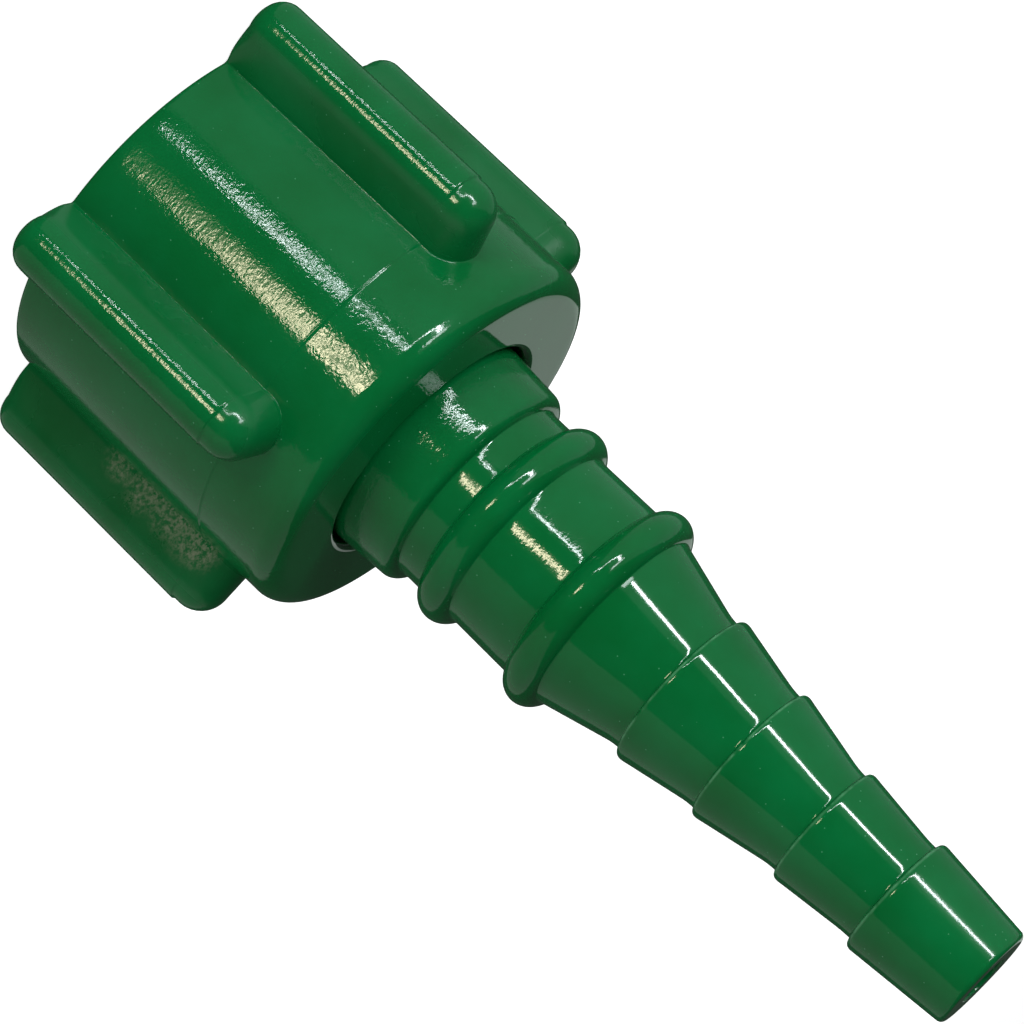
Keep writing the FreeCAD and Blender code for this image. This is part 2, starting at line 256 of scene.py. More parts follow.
def clean(piece: bpy.types.Object, reach: float = WELD) -> None:
    """Merge doubles and turn every face outwards.

    Args:
        piece: The mesh object.
        reach: How near two points are to be one, in millimetres.
    """
    work = bmesh.new()
    work.from_mesh(piece.data)
    bmesh.ops.remove_doubles(work, verts=work.verts, dist=reach * MM)
    bmesh.ops.dissolve_degenerate(work, edges=work.edges, dist=reach * MM * NO_FACE)
    bmesh.ops.recalc_face_normals(work, faces=work.faces)
    work.to_mesh(piece.data)
    work.free()
    piece.data.update()


# Node graphs


class Graph:
    """Adds and joins the nodes of one node tree."""

    def __init__(self, tree: bpy.types.NodeTree) -> None:
        """Start on an empty tree."""
        self.tree = tree
        tree.nodes.clear()

    def add(self, kind: str, inputs: dict[Any, Any] | None = None, **settings: Any) -> bpy.types.Node:
        """Add a node.

        Args:
            kind: Blender's name of the node type.
            inputs: Values or sockets for its inputs, by name or number.
            **settings: Attributes of the node itself.

        Returns:
            The node.
        """
        node = self.tree.nodes.new(kind)
        for name, value in settings.items():
            setattr(node, name, value)
        for name, value in (inputs or {}).items():
            if isinstance(value, bpy.types.NodeSocket):
                self.tree.links.new(value, node.inputs[name])
            else:
                node.inputs[name].default_value = value
        return node

    def math(self, operation: str, first: Any, second: Any = 0.0, clamp: bool = False) -> Any:
        """Combine two numbers and return the result's socket."""
        inputs = {0: first, 1: second}
        return self.add("ShaderNodeMath", inputs, operation=operation, use_clamp=clamp).outputs[0]

    def noise(self, where: Any, **settings: Any) -> Any:
        """Add a noise with these inputs, named in lower case, and return its value's socket."""
        inputs = {name.title(): value for name, value in settings.items()}
        return self.add("ShaderNodeTexNoise", {"Vector": where, **inputs}).outputs["Fac"]

    def spread(self, value: Any, low: Any, high: Any, first: float = 0.0, last: float = 1.0) -> Any:
        """Stretch the range from low to high onto first to last and return the result's socket."""
        inputs = {0: value, 1: low, 2: high, 3: first, 4: last}
        return self.add("ShaderNodeMapRange", inputs).outputs[0]

    def mix(self, share: Any, first: Any, second: Colour) -> Any:
        """Mix a second colour into a first by a share and return the result's socket."""
        inputs = {0: share, 6: first, 7: (*second, 1.0)}
        return self.add("ShaderNodeMix", inputs, data_type="RGBA").outputs[2]

    def use(self, group: bpy.types.NodeTree, where: Any, **values: Any) -> Any:
        """Use a shader group at a place, with values for its inputs, and return its outputs."""
        return self.add("ShaderNodeGroup", {"Vector": where, **values}, node_tree=group).outputs


SOCKETS = {float: "NodeSocketFloat", int: "NodeSocketInt", tuple: "NodeSocketVector"}
GEOMETRY = "NodeSocketGeometry"
MATERIAL = "NodeSocketMaterial"


def start_tree(kind: str, name: str, inputs: dict[str, Any], outputs: dict[str, str]) -> tuple[Graph, Any]:
    """Start a node tree that can be used again.

    Args:
        kind: Blender's name of the tree type.
        name: Name of the tree.
        inputs: First value of each input, or the name of its socket type.
        outputs: Name of each output's socket type.

    Returns:
        The tree's graph, and the sockets that its inputs come from.
    """
    graph = Graph(bpy.data.node_groups.new(name, kind))
    sides = [("INPUT", label, value) for label, value in inputs.items()]
    sides += [("OUTPUT", label, value) for label, value in outputs.items()]
    for side, label, value in sides:
        plain = isinstance(value, str)
        socket = graph.tree.interface.new_socket(
            name=label, in_out=side, socket_type=value if plain else SOCKETS[type(value)]
        )
        if not plain:
            socket.default_value = value
    return graph, graph.add("NodeGroupInput").outputs


def start_effect(name: str, inputs: dict[str, Any], *outputs: str) -> tuple[Graph, Any]:
    """Start a shader group that works at a place and puts out numbers, as start_tree does."""
    taken = {"Vector": "NodeSocketVector", **inputs}
    return start_tree("ShaderNodeTree", name, taken, dict.fromkeys(outputs, "NodeSocketFloat"))


# Shared effects and finishes


def moulded_skin_group() -> bpy.types.NodeTree:
    """Build the relief of a moulded skin inside a zone: grain, curls, lines round it and waves.

    Returns:
        A shader group that puts out a height in micrometres, 0 on average and outside the zone,
        and the zone as a mask from 0 to 1.
    """
    reliefs = ("Grain", "Curls", "Lines", "Waves")
    zone_sizes = {"Low": 0.0, "High": 0.1, "Inner": 0.0, "Outer": 0.1}
    inputs = {**zone_sizes, **dict.fromkeys(reliefs, 0.5), "Cells": 7000.0}
    graph, entry = start_effect("moulded skin", inputs, "Height", "Zone")
    where = entry["Vector"]
    squeezed = graph.add("ShaderNodeMapping", {"Vector": where, "Scale": (900.0, 900.0, 6800.0)})
    noises = (
        graph.noise(where, scale=entry["Cells"], detail=2.0, roughness=0.6),
        graph.noise(where, scale=2900.0, detail=2.0, roughness=0.5, distortion=1.2),
        graph.noise(squeezed.outputs[0], scale=1.0, detail=2.0, roughness=0.6),
        graph.noise(where, scale=420.0, detail=1.0, roughness=0.4),
    )
    total = 0.0
    for noise, name in zip(noises, reliefs):
        centred = graph.math("SUBTRACT", noise, 0.5)
        total = graph.math("ADD", total, graph.math("MULTIPLY", centred, entry[name]))
    across, along, height = graph.add("ShaderNodeSeparateXYZ", {0: where}).outputs
    squares = [graph.math("MULTIPLY", side, side) for side in (across, along)]
    reach = graph.math("SQRT", graph.math("ADD", *squares))
    bounds = (
        (height, "Low", 1.0),
        (height, "High", -1.0),
        (reach, "Inner", 1.0),
        (reach, "Outer", -1.0),
    )
    zone = 1.0
    for value, name, side in bounds:
        past = graph.math("MULTIPLY", graph.math("SUBTRACT", value, entry[name]), side)
        soft = graph.math("ADD", graph.math("MULTIPLY", past, 1.0 / SOFT_EDGE), 0.5, clamp=True)
        zone = graph.math("MULTIPLY", zone, soft)
    graph.add("NodeGroupOutput", {"Height": graph.math("MULTIPLY", total, zone), "Zone": zone})
    return graph.tree


def tone_group() -> bpy.types.NodeTree:
    """Build the slow change of tone in a coloured moulding.

    Returns:
        A shader group that puts out a value from 0 to 1.
    """
    graph, entry = start_effect("slow tone", {}, "Tone")
    slow = graph.noise(entry["Vector"], scale=230.0, detail=4.0, roughness=0.55)
    graph.add("NodeGroupOutput", {"Tone": graph.spread(slow, low=0.35, high=0.65)})
    return graph.tree


def pale_edge_ring_group() -> bpy.types.NodeTree:
    """Build a lighter ring round the axis along an edge, broken up in patches.

    Returns:
        A shader group that puts out a mask from 0 to 1.
    """
    graph, entry = start_effect("pale edge ring", {"Height": 0.0, "Width": 0.0001}, "Mask")
    height = graph.add("ShaderNodeSeparateXYZ", {0: entry["Vector"]}).outputs[2]
    off = graph.math("ABSOLUTE", graph.math("SUBTRACT", height, entry["Height"]))
    near = graph.math("SUBTRACT", 1.0, graph.math("DIVIDE", off, entry["Width"]), clamp=True)
    breaks = graph.noise(entry["Vector"], scale=1500.0, detail=2.0, roughness=0.6)
    spared = graph.spread(breaks, low=0.3, high=0.6)
    graph.add("NodeGroupOutput", {"Mask": graph.math("MULTIPLY", near, spared)})
    return graph.tree


def flecks_group() -> bpy.types.NodeTree:
    """Build sparse dust: small pale flecks, one in a few cells.

    Returns:
        A shader group that puts out a mask from 0 to 1.
    """
    inputs = {"Scale": 2400.0, "Size": 0.075, "Share": 0.4}
    graph, entry = start_effect("dust flecks", inputs, "Mask")
    settings = {"Vector": entry["Vector"], "Scale": entry["Scale"]}
    cells = graph.add("ShaderNodeTexVoronoi", settings).outputs
    chosen = graph.add("ShaderNodeSeparateColor", {0: cells["Color"]}).outputs[0]
    picked = graph.math("LESS_THAN", chosen, entry["Share"])
    near = graph.math("LESS_THAN", cells["Distance"], entry["Size"])
    graph.add("NodeGroupOutput", {"Mask": graph.math("MULTIPLY", picked, near)})
    return graph.tree


def scuff_group() -> bpy.types.NodeTree:
    """Build a rubbed patch: fine scratches inside a soft ball.

    Returns:
        A shader group that puts out a mask from 0 to 1.
    """
    inputs = {"Centre": (0.0, 0.0, 0.0), "Reach": 0.002}
    graph, entry = start_effect("rubbed patch", inputs, "Mask")
    where, reach = entry["Vector"], entry["Reach"]
    ends = {0: where, 1: entry["Centre"]}
    away = graph.add("ShaderNodeVectorMath", ends, operation="DISTANCE").outputs["Value"]
    core = graph.math("MULTIPLY", reach, 0.4)
    inside = graph.spread(away, low=core, high=reach, first=1.0, last=0.0)
    turn = {"Rotation": (0.7, 0.2, 0.4), "Scale": (5200.0, 1100.0, 5200.0)}
    turned = graph.add("ShaderNodeMapping", {"Vector": where, **turn})
    strokes = graph.noise(turned.outputs[0], scale=1.0, detail=4.0, roughness=0.7)
    sharp = graph.spread(strokes, low=0.42, high=0.68, last=0.8)
    graph.add("NodeGroupOutput", {"Mask": graph.math("MULTIPLY", inside, sharp)})
    return graph.tree


@dataclass
class Effects:
    """The shader groups that both finishes use."""

    skin: bpy.types.NodeTree = field(default_factory=moulded_skin_group)
    tone: bpy.types.NodeTree = field(default_factory=tone_group)
    pale_rings: bpy.types.NodeTree = field(default_factory=pale_edge_ring_group)
    flecks: bpy.types.NodeTree = field(default_factory=flecks_group)
    scuffs: bpy.types.NodeTree = field(default_factory=scuff_group)


@dataclass(frozen=True)
class Skin:
    """The relief of one zone of a moulding.

    Attributes:
        heights: Lowest and highest place of the zone in millimetres.
        reaches: Smallest and largest distance from the axis in millimetres.
        grain: Height of the fine grain in micrometres.
        curls: Height of the curled ripple in micrometres.
        lines: Height of the fine lines round the piece in micrometres.
        waves: Height of the slow waves in micrometres.
        cells: Grains in a metre.
        dull: Roughness added in the zone.
    """

    heights: Pair
    reaches: Pair = (0.0, 50.0)
    grain: float = 0.0
    curls: float = 0.0
    lines: float = 0.0
    waves: float = 0.0
    cells: float = 5600.0
    dull: float = 0.0

    def build(self, graph: Graph, where: Any, effects: Effects) -> tuple[Any, Any]:
        """Add the zone's relief to a material.

        Args:
            graph: The material's graph.
            where: Socket of the place on the piece.
            effects: The shared shader groups.

        Returns:
            The sockets of the relief's height and of the roughness that it adds.
        """
        made = graph.use(
            effects.skin,
            where,
            Low=self.heights[0] * MM,
            High=self.heights[1] * MM,
            Inner=self.reaches[0] * MM,
            Outer=self.reaches[1] * MM,
            Grain=self.grain,
            Curls=self.curls,
            Lines=self.lines,
            Waves=self.waves,
            Cells=self.cells,
        )
        return made["Height"], graph.math("MULTIPLY", made["Zone"], self.dull)


@dataclass(frozen=True)
class GreenMoulding:
    """A glossy green moulding.

    Attributes:
        name: Name of the material.
        skins: The relief, zone by zone.
        scuffs: Rubbed patches, each a centre and a reach in millimetres.
        pale_rings: Lighter rings painted along the barb edges, each a height and half a width in
            millimetres.
        deep: Base colour where the tone is low.
        light: Base colour where the tone is high.
        roughness: Lowest and highest roughness.
        fleck_share: Share of the cells that hold a dust fleck.
        scuff_dull: Roughness that a rubbed patch adds.
        pale_ring_dull: Roughness that a lighter ring adds.
        refraction: Refractive index of the plastic.
    """

    name: str
    skins: tuple[Skin, ...]
    scuffs: tuple[tuple[tuple[float, float, float], float], ...] = ()
    pale_rings: tuple[Pair, ...] = ()
    deep: Colour = (0.0006, 0.098, 0.021)
    light: Colour = (0.0010, 0.120, 0.030)
    roughness: Pair = (0.06, 0.09)
    fleck_share: float = 0.4
    fleck_colour: Colour = (0.05, 0.23, 0.11)
    scuff_colour: Colour = (0.19, 0.23, 0.15)
    scuff_dull: float = 0.35
    pale_ring_colour: Colour = (0.07, 0.26, 0.12)
    pale_ring_dull: float = 0.2
    refraction: float = 1.5

    def build(self, effects: Effects) -> bpy.types.Material:
        """Make the material.

        Args:
            effects: The shared shader groups.

        Returns:
            The finished material.
        """
        material = bpy.data.materials.new(self.name)
        material.use_nodes = True
        graph = Graph(material.node_tree)
        where = graph.add("ShaderNodeTexCoord").outputs["Object"]
        tone = graph.use(effects.tone, where)["Tone"]
        colour = graph.mix(tone, (*self.deep, 1.0), self.light)
        rough = graph.spread(tone, 0.0, 1.0, *self.roughness)
        height = 0.0
        for skin in self.skins:
            relief, dull = skin.build(graph, where, effects)
            height = graph.math("ADD", height, relief)
            rough = graph.math("ADD", rough, dull)
        # Lighter, rougher rings painted along the barb edges
        for level, width in self.pale_rings:
            mask = graph.use(effects.pale_rings, where, Height=level * MM, Width=width * MM)["Mask"]
            colour = graph.mix(mask, colour, self.pale_ring_colour)
            rough = graph.math("ADD", rough, graph.math("MULTIPLY", mask, self.pale_ring_dull))
        mask = graph.use(effects.flecks, where, Share=self.fleck_share)["Mask"]
        colour = graph.mix(mask, colour, self.fleck_colour)
        for centre, reach in self.scuffs:
            place = [size * MM for size in centre]
            mask = graph.use(effects.scuffs, where, Centre=place, Reach=reach * MM)["Mask"]
            colour = graph.mix(mask, colour, self.scuff_colour)
            dull = graph.math("MULTIPLY", mask, self.scuff_dull)
            rough = graph.math("ADD", rough, dull, clamp=True)
        bump = graph.add("ShaderNodeBump", {"Height": height, "Distance": MICROMETRE}).outputs[0]
        inputs = {"Base Color": colour, "Roughness": rough, "Normal": bump, "IOR": self.refraction}
        shader = graph.add("ShaderNodeBsdfPrincipled", inputs)
        graph.add("ShaderNodeOutputMaterial", {"Surface": shader.outputs[0]})
        return material


NUT_FINISH = GreenMoulding(
    "green nut",
    skins=(
        Skin((-1.0, 12.1), (0.0, 9.95), grain=6.0, lines=3.0, waves=5.0),
        Skin((12.1, 14.9), (0.0, 9.95), grain=1.0, curls=8.5, waves=6.0),
        Skin((14.9, 16.4), (0.0, 9.95), grain=1.5, curls=6.0, waves=6.0),
        Skin((16.4, 20.0), (0.0, 9.95), grain=0.8, waves=5.0),
        Skin((-1.0, 20.0), (9.95, 12.2), grain=2.0, curls=2.0, waves=8.0, dull=0.2),
        Skin((-1.0, 12.1), (12.2, 50.0), grain=7.0, curls=5.0, lines=5.0, waves=10.0),
        Skin((12.1, 20.0), (12.2, 50.0), grain=3.0, curls=6.0, waves=10.0, dull=0.06),
    ),
    scuffs=(
        ((-7.29, 7.12, 11.3), 1.5),
        ((-7.40, 7.20, 12.1), 1.1),
        ((-7.25, 7.08, 9.9), 1.3),
        ((-7.35, 7.15, 8.3), 1.2),
        ((-7.15, 7.00, 6.6), 1.1),
    ),
)
NIPPLE_FINISH = GreenMoulding(
    "green nipple",
    skins=(
        Skin((0.0, 19.4), grain=10.0, lines=2.0, waves=3.0, cells=4600.0),
        Skin((19.4, 27.6), grain=3.6, lines=1.2, waves=4.0),
        Skin((27.6, 44.7), grain=0.8, curls=1.0, waves=11.0),
        Skin((44.7, 60.0), grain=1.8, curls=2.5, waves=10.0, dull=0.03),
    ),
    # Lighter rings painted along the barb edges
    pale_rings=((31.95, 0.09), (36.04, 0.09), (40.37, 0.09), (44.58, 0.1)),
)


# Geometry that repeats or follows a path


def end_tree(graph: Graph, entry: Any, made: Any) -> bpy.types.NodeTree:
    """Put out a geometry tree's result in its finish.

    Args:
        graph: The tree's graph.
        entry: The sockets that its inputs come from.
        made: Socket of the result.

    Returns:
        The finished tree.
    """
    painted = graph.add("GeometryNodeSetMaterial", {"Geometry": made, "Material": entry["Finish"]})
    graph.add("NodeGroupOutput", {"Geometry": painted.outputs[0]})
    return graph.tree


def ring_copies_tree() -> bpy.types.NodeTree:
    """Build the tree that repeats a sector round the axis and welds the copies.

    Returns:
        A geometry tree with the count, the weld distance and the material as inputs.
    """
    inputs = {"Geometry": GEOMETRY, "Count": 5, "Weld": 0.00001, "Finish": MATERIAL}
    name = "sectors round the axis"
    graph, entry = start_tree("GeometryNodeTree", name, inputs, {"Geometry": GEOMETRY})
    line = {"Count": entry["Count"], "Offset": (0.0, 0.0, 0.0)}
    spots = graph.add("GeometryNodeMeshLine", line).outputs[0]
    index = graph.add("GeometryNodeInputIndex").outputs[0]
    turn = graph.math("MULTIPLY", index, graph.math("DIVIDE", math.tau, entry["Count"]))
    turns = graph.add("ShaderNodeCombineXYZ", {"Z": turn}).outputs[0]
    parts = {"Points": spots, "Instance": entry["Geometry"], "Rotation": turns}
    copies = graph.add("GeometryNodeInstanceOnPoints", parts).outputs[0]
    real = graph.add("GeometryNodeRealizeInstances", {"Geometry": copies}).outputs[0]
    weld = {"Geometry": real, "Distance": entry["Weld"]}
    return end_tree(graph, entry, graph.add("GeometryNodeMergeByDistance", weld).outputs[0])


def thread_tree() -> bpy.types.NodeTree:
    """Build the tree that sweeps a thread ridge along a helix.

    Returns:
        A geometry tree with the thread's sizes and the material as inputs.
    """
    sizes = {"Radius": 0.007, "Pitch": 0.0014, "Turns": 6.0, "Start": 0.001, "Fade": 0.06}
    inputs = {"Section": GEOMETRY, **sizes, "Finish": MATERIAL}
    graph, entry = start_tree("GeometryNodeTree", "helical thread", inputs, {"Geometry": GEOMETRY})
    spiral = {
        "Resolution": 96,
        "Rotations": entry["Turns"],
        "Start Radius": entry["Radius"],
        "End Radius": entry["Radius"],
        "Height": graph.math("MULTIPLY", entry["Turns"], entry["Pitch"]),
        "Reverse": False,
    }
    helix = graph.add("GeometryNodeCurveSpiral", spiral).outputs[0]
    rise = graph.add("ShaderNodeCombineXYZ", {"Z": entry["Start"]}).outputs[0]
    lifted = graph.add("GeometryNodeTransform", {"Geometry": helix, "Translation": rise}).outputs[0]
    held = graph.add("GeometryNodeSetCurveNormal", {"Curve": lifted}).outputs[0]
    share = graph.add("GeometryNodeSplineParameter").outputs["Factor"]
    ends = [
        graph.spread(way, low=0.0, high=entry["Fade"], first=0.02)
        for way in (share, graph.math("SUBTRACT", 1.0, share))
    ]
    width = {"Curve": held, "Radius": graph.math("MINIMUM", *ends)}
    faded = graph.add("GeometryNodeSetCurveRadius", width).outputs[0]
    section = graph.add("GeometryNodeMeshToCurve", {"Mesh": entry["Section"]}).outputs[0]
    sweep = {"Curve": faded, "Profile Curve": section, "Fill Caps": True}
    swept = graph.add("GeometryNodeCurveToMesh", sweep).outputs[0]
    real = graph.add("GeometryNodeRealizeInstances", {"Geometry": swept}).outputs[0]
    return end_tree(graph, entry, real)


def apply_tree(piece: bpy.types.Object, tree: bpy.types.NodeTree, values: dict[str, Any]) -> None:
    """Run a geometry tree on a piece and keep its result as a plain mesh.

    Args:
        piece: The mesh object that the tree starts from.
        tree: The geometry tree.
        values: The tree's inputs by name.
    """
    modifier = piece.modifiers.new(tree.name, "NODES")
    modifier.node_group = tree
    for item in tree.interface.items_tree:
        if item.item_type == "SOCKET" and item.in_out == "INPUT" and item.name in values:
            modifier[item.identifier] = values[item.name]
    bpy.context.view_layer.update()
    graph = bpy.context.evaluated_depsgraph_get()
    made = bpy.data.meshes.new_from_object(piece.evaluated_get(graph), depsgraph=graph)
    piece.modifiers.remove(modifier)
    piece.data = made
    made.name = piece.name
    smooth(made)


# The pieces


@dataclass
class BarbedNipple:
    """The nipple: sealing nose, retaining shoulder, shank, beads, cone, barbs and gas bore.

    Attributes:
        shank_swell: Radius and height where the shank is thickest, inside the nut's hole.
        shank_edge: Radius and height where the round at the shank's end starts.
        shank_ease: How far the corner of that round is drawn in.
        bead_heights: Heights of the two beads' crests.
        bead_feet: Stem radius below and above each bead.
        barbs: Edge radius, end radius and end height of each barb.
        barb_foot: How far before a barb the cone starts to curve up to it.
        barb_crest: How far past its foot a barb's edge is rounded.
        barb_lip: Height of the edge's corner above the foot.
        barb_slack: How far the back rises to its middle, and how far the corner stands out.
        edge_reach: How far the mould's polish rounds every corner.
        thin_off: How far a dropped point may lie from the outline.
        thin_run: Longest straight run that may stand in for dropped points.
    """

    bore: float = 1.2
    bore_lead: float = 0.35
    nose_end: float = 9.95
    nose_radius: float = 4.3
    nose_round: float = 1.3
    shoulder_base: float = 11.75
    shoulder_top: float = 13.65
    shoulder_radius: float = 6.3
    shank_radius: float = 5.52
    shank_swell: Pair = (5.61, 16.0)
    shank_edge: Pair = (5.42, 18.86)
    shank_ease: float = 0.06
    shank_end: float = 19.36
    stem_radius: float = 4.77
    bead_reach: float = 5.455
    bead_heights: Pair = (21.58, 26.88)
    bead_feet: tuple[Pair, Pair] = ((4.77, 4.72), (4.75, 4.66))
    bead_round: float = 0.9
    cone_end: Pair = (3.68, 31.83)
    barbs: tuple[tuple[float, float, float], ...] = (
        (4.02, 3.285, 35.92),
        (3.555, 2.765, 40.25),
        (3.05, 2.63, 44.46),
        (2.995, 2.57, 49.65),
    )
    barb_foot: float = 0.8
    barb_crest: float = 0.5
    barb_lip: float = 0.1
    barb_slack: float = 0.04
    tip_round: float = 0.3
    edge_reach: float = 0.045
    thin_off: float = 0.0012
    thin_run: float = 0.3
    segments: int = 176

    def _bead(self, path: Outline, height: float, feet: Pair) -> float:
        """Add a bead's arc between its feet.

        Args:
            path: The nipple's outline so far.
            height: Height of the bead's crest.
            feet: Stem radius below and above the bead.

        Returns:
            The height at which the arc ends.
        """
        centre = self.bead_reach - self.bead_round
        low, high = (math.degrees(math.acos((foot - centre) / self.bead_round)) for foot in feet)
        path.arc((centre, height), self.bead_round, -low, high)
        return path.points[-1][1]

    def _barb_run(self, path: Outline, start: Pair) -> None:
        """Add the cone and the barbs up to the tip's edge.

        Args:
            path: The nipple's outline so far.
            start: Radius and height of the cone's start on the last bead.
        """
        foot, top = self.cone_end
        for edge, end, end_height in self.barbs:
            bend = top - 0.5 * self.barb_foot
            before = (start[0] - foot) / (bend - start[1])
            after = (edge - end) / (end_height - top)
            middle = ((foot + edge) / 2.0, top + self.barb_slack)
            low = (foot + 0.5 * before * self.barb_foot, top - self.barb_foot)
            path.bend(low, (foot, bend), (foot, top)).to(middle)
            high = (edge - after * (self.barb_crest - self.barb_lip), top + self.barb_crest)
            path.bend(middle, (edge + self.barb_slack, top + self.barb_lip), high)
            start, foot, top = high, end, end_height
        rounded = (foot - self.tip_round, top - self.tip_round)
        path.arc(rounded, self.tip_round, 0.0, 90.0)

    def outline(self) -> Points:
        """Walk the outline from the nose, up the outside to the tip and down the bore.

        Returns:
            The rounded and thinned outline, radius and height of each point.
        """
        path = Outline().to((self.bore + self.bore_lead, self.nose_end))
        centre = (self.nose_radius - self.nose_round, self.nose_end + self.nose_round)
        path.arc(centre, self.nose_round, -90.0, 0.0).to(
            (self.nose_radius, self.shoulder_base),
            (self.shoulder_radius, self.shoulder_base),
            (self.shoulder_radius, self.shoulder_top),
            (self.shank_radius, self.shoulder_top),
            self.shank_swell,
        )
        corner = (self.shank_edge[0] - self.shank_ease, self.shank_end - self.shank_ease)
        path.bend(self.shank_edge, corner, (self.stem_radius, self.shank_end))
        ends = [self._bead(path, *bead) for bead in zip(self.bead_heights, self.bead_feet)]
        self._barb_run(path, (self.bead_feet[-1][1], ends[-1]))
        path.to((self.bore, self.barbs[-1][2]), (self.bore, self.nose_end + self.bore_lead))
        return thinned(path.softened(self.edge_reach), self.thin_off, self.thin_run)

    def build(self, finish: bpy.types.Material) -> bpy.types.Object:
        """Turn the outline about the axis.

        Args:
            finish: The nipple's material.

        Returns:
            The finished piece.
        """
        outline = self.outline()
        angles = np.linspace(0.0, math.tau, self.segments, endpoint=False)
        rows = [polar(outline[:, 0], angle, outline[:, 1]) for angle in angles]
        faces = grid_faces(self.segments, len(outline), closed=True)
        piece = mesh_object("hose_nipple", np.concatenate(rows), faces)
        clean(piece)
        piece.data.materials.append(finish)
        return piece


@dataclass
class WingNut:
    """The nut: a tapered round body with grip wings, open at the rim, with a web at the front.

    Attributes:
        line_radius: Outside just below the mould's parting line.
        line_height: Height of the parting line.
        line_step: How much the front half of the mould is smaller.
        wing_step: The same on the crests of the wings.
        line_blend: Height over which the step comes in.
        line_flash: How far the flash on the parting line stands out.
        flash_width: Half the height of the flash.
        line_margin: How far below the parting line the even rows end.
        line_rows: Rows near the parting line, from its height.
        thread_root: Wall of the thread bore between the ridges.
        cap_height: Height at which the wings' rounded ends start.
        cap_squareness: Power of the ends' curve, where 2 is a circle.
        wing_fillets: Fillets at a wing's root, on its clockwise and its other side.
        rim_blend: How far past the body the rim's round starts to grow, and by which power.
        body_spread: Power that sets the points on the body nearer to the wings.
        search_reach: Fillet radii past a wing's root within which its fillet ends.
        sector_weld: How near the points of two sectors are to be one.
    """

    height: float = 16.5
    rim_radius: float = 9.78
    line_radius: float = 9.86
    line_height: float = 12.1
    line_step: float = 0.04
    wing_step: float = 0.09
    line_blend: float = 0.02
    line_flash: float = 0.02
    flash_width: float = 0.045
    line_margin: float = 0.3
    line_rows: tuple[float, ...] = (
        -0.2, -0.12, -0.08, -0.05, -0.025, 0.0, 0.025, 0.05, 0.08, 0.12, 0.2, 0.35
    )
    low_rows: int = 26
    front_radius: float = 9.83
    shoulder_round: float = 1.1
    front_steps: int = 7
    hole_radius: float = 5.8
    hole_round: float = 0.35
    web: float = 2.6
    web_edge: float = 0.1
    recess_radius: float = 7.3
    recess_round: float = 0.2
    recess_low: float = 9.9
    recess_slope: float = 0.15
    thread_root: float = 7.144
    mouth_lead: float = 0.35
    wings: int = 5
    crest_centre: float = 11.55
    crest_round: float = 1.45
    crest_steps: int = 10
    root_half_width: float = 1.5
    root_radius: float = 8.79
    flank_steps: int = 8
    fillet_steps: int = 7
    cap_height: float = 12.45
    cap_squareness: float = 2.1
    wing_fillets: Pair = (0.03, 0.08)
    rim_round: float = 0.3
    wing_rim_round: float = 1.0
    rim_blend: Pair = (0.4, 1.5)
    rim_steps: int = 8
    side_steps: int = 8
    top_steps: int = 15
    body_steps: int = 14
    body_spread: float = 1.15
    search_reach: float = 2.5
    search_steps: int = 40
    sector_weld: float = 0.002
    weld: float = 0.001

    def side_radius(self, height: Points) -> Points:
        """Find the outside radius of the body, before the parting line's relief.

        Args:
            height: Heights above the rim plane.

        Returns:
            The radius at each height.
        """
        lower = self.rim_radius + (self.line_radius - self.rim_radius) * height / self.line_height
        rise = (height - self.line_height) / (self.height - self.line_height)
        upper = self.line_radius + (self.front_radius - self.line_radius) * rise
        return np.where(height < self.line_height, lower, upper)

    def line_relief(self, height: Points, reach: Points) -> Points:
        """Find the relief of the parting line: a step down past it and a thin raised flash.

        Args:
            height: Heights above the rim plane.
            reach: Distances from the axis.

        Returns:
            How far the surface stands out at each place.
        """
        past = 1.0 / (1.0 + np.exp(-(height - self.line_height) / self.line_blend))
        flash = np.exp(-(((height - self.line_height) / self.flash_width) ** 2))
        crest = self.crest_centre + self.crest_round
        out = np.clip((reach - self.line_radius) / (crest - self.line_radius), 0.0, 1.0)
        step = self.line_step + (self.wing_step - self.line_step) * out
        return self.line_flash * flash - step * past

    def _flank(self, reach: float) -> float:
        """Return the half width of a wing at a distance from the axis."""
        share = (self.crest_centre - reach) / (self.crest_centre - self.root_radius)
        return self.crest_round + (self.root_half_width - self.crest_round) * share

    def _section(self, sideways: float, base: float, round_off: float) -> Points:
        """Lay out a wing's section from its crest to the end of its root fillet.

        Args:
            sideways: How much of the section's width runs round the body: 1 across the wing.
            base: Height of the section's middle.
            round_off: The fillet's radius.

        Returns:
            Distance from the wing's middle and from the axis, point by point.
        """
        body = float(self.side_radius(np.array(base)))
        curve = sideways**2

        def surface(off: float) -> float:
            """Return the body's distance from the axis at a distance from the wing's middle."""
            return math.sqrt(body * body - off * off * curve)

        def centre(off: float) -> Pair:
            """Find the centre of the fillet that touches the body at a place.

            Args:
                off: The place's distance from the wing's middle.

            Returns:
                The centre's distance from the wing's middle and from the axis.
            """
            slope = -off * curve / surface(off)
            scale = round_off / math.hypot(1.0, slope)
            return off - slope * scale, surface(off) + scale

